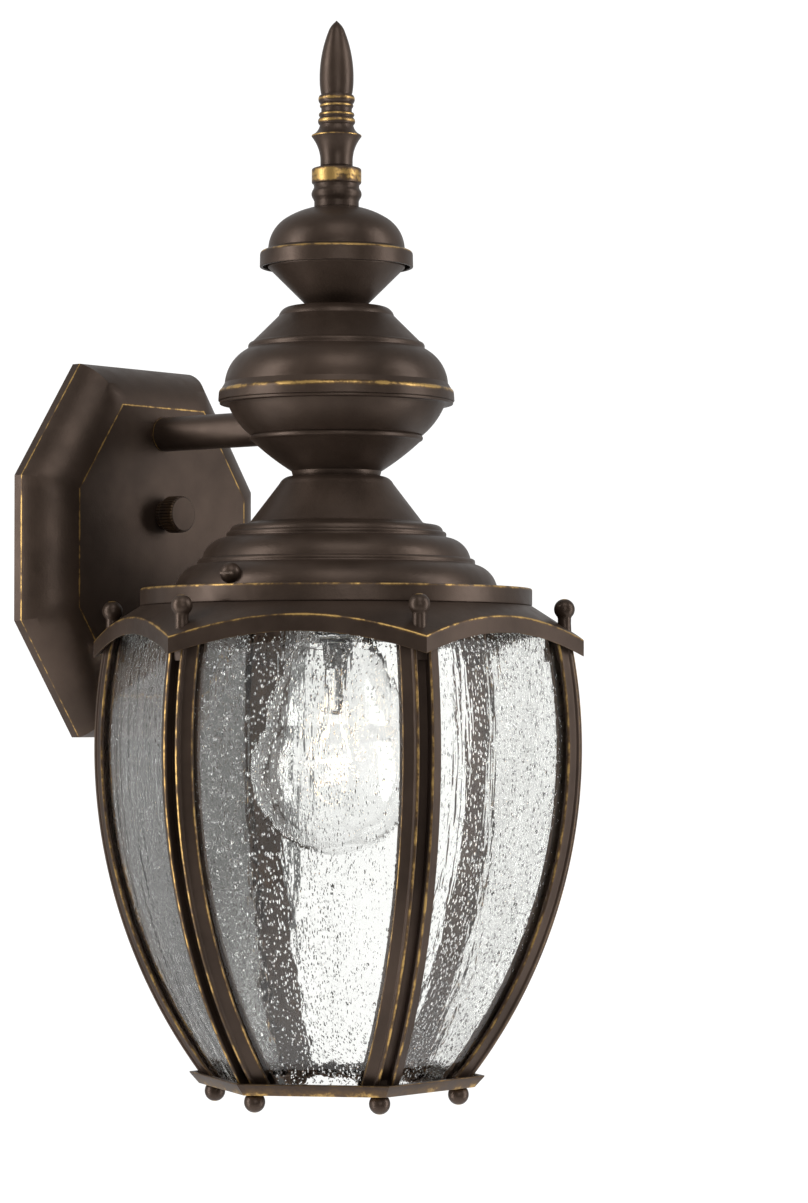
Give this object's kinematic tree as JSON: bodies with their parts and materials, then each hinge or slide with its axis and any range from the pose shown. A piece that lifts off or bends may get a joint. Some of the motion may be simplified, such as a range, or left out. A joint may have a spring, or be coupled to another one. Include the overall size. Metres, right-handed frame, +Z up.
{
  "type": "outdoor wall lantern",
  "caption": "Hexagonal glazed wall lantern with bent seeded-glass panels, turned bronze roof and spear finial, hung from a straight arm on a bevelled wall plate.",
  "frame": {"origin": "centre of the wall plate's rear edge, on the wall plane", "axes": "+Z up, +Y into the wall, so -Y points out to the lantern; +X along the wall"},
  "size_m": [0.1778, 0.1793, 0.3873],
  "materials": {
    "bronze": "satin textured antique bronze paint, rubbed to gold on raised edges",
    "rubbed_bronze": "antique bronze paint rubbed to gold",
    "zinc_steel": "bright zinc plate",
    "brass": "plain brass",
    "green_steel": "green passivated steel",
    "porcelain": "glazed white",
    "seeded_glass": "clear with seeds and streaks",
    "lamp_glass": "clear",
    "lamp_base": "rolled thread shell",
    "black_glass": "black glass insulator",
    "filament": "glowing wire",
    "black_lead": "insulated lead",
    "white_lead": "insulated lead",
    "copper": "bare copper"
  },
  "bodies": {
    "lantern": {"wall_plate": "bronze", "mounting_strap": "zinc_steel", "ground_screw": "green_steel", "centre_stud": "zinc_steel", "stud_nut": "zinc_steel", "arm_tube": "bronze", "arm_nipple": "brass", "arm_locknut": "zinc_steel", "hub": "brass", "lower_nipple": "brass", "roof_locknut": "zinc_steel", "centre_rod": "zinc_steel", "collar": "rubbed_bronze", "upper_dome": "bronze", "upper_cup": "bronze", "mid_shell": "bronze", "mid_bowl": "bronze", "roof_dome": "bronze", "roof_screws": "bronze", "roof_disc": "bronze", "disc_screws": "zinc_steel", "crown": "bronze", "crown_ball_screws": "bronze", "rib_1": "bronze", "rib_2": "bronze", "rib_3": "bronze", "rib_4": "bronze", "rib_5": "bronze", "rib_6": "bronze", "glass_1": "seeded_glass", "glass_2": "seeded_glass", "glass_3": "seeded_glass", "glass_4": "seeded_glass", "glass_5": "seeded_glass", "glass_6": "seeded_glass", "tray": "bronze", "foot_ball_screws": "bronze", "socket_body": "porcelain", "socket_shell": "brass", "socket_contact": "brass", "socket_cap": "zinc_steel", "socket_screws": "zinc_steel", "wire_black": "black_lead", "wire_white": "white_lead", "wire_ground": "copper"},
    "lamp": {"lamp_glass": "lamp_glass", "lamp_base": "lamp_base", "lamp_insulator": "black_glass", "lamp_stem": "lamp_glass", "lamp_filament": "filament"},
    "nut_washer": {"nut_washer": "bronze"},
    "cap_nut": {"cap_nut": "bronze"},
    "finial": {"finial": "bronze"}
  },
  "joints": [
    {"name": "lamp_draw", "type": "slide", "parent": "lantern", "child": "lamp", "axis": [0, 0, -1], "range_m": [0, 0.2]},
    {"name": "washer_slide", "type": "slide", "parent": "lantern", "child": "nut_washer", "axis": [0, -1, 0], "range_m": [0, 0.008]},
    {"name": "cap_nut_turn", "type": "hinge", "parent": "nut_washer", "child": "cap_nut", "pos_m": [0, -0.0245, 0.0137], "axis": [0, -1, 0], "range_deg": [0, 3600]},
    {"name": "finial_turn", "type": "hinge", "parent": "lantern", "child": "finial", "pos_m": [0, -0.1016, 0.1361], "axis": [0, 0, 1], "continuous": true}
  ],
  "couplings": [
    {"joint": "washer_slide", "follows": "cap_nut_turn", "m_per_rad": 0.00012637}
  ]
}
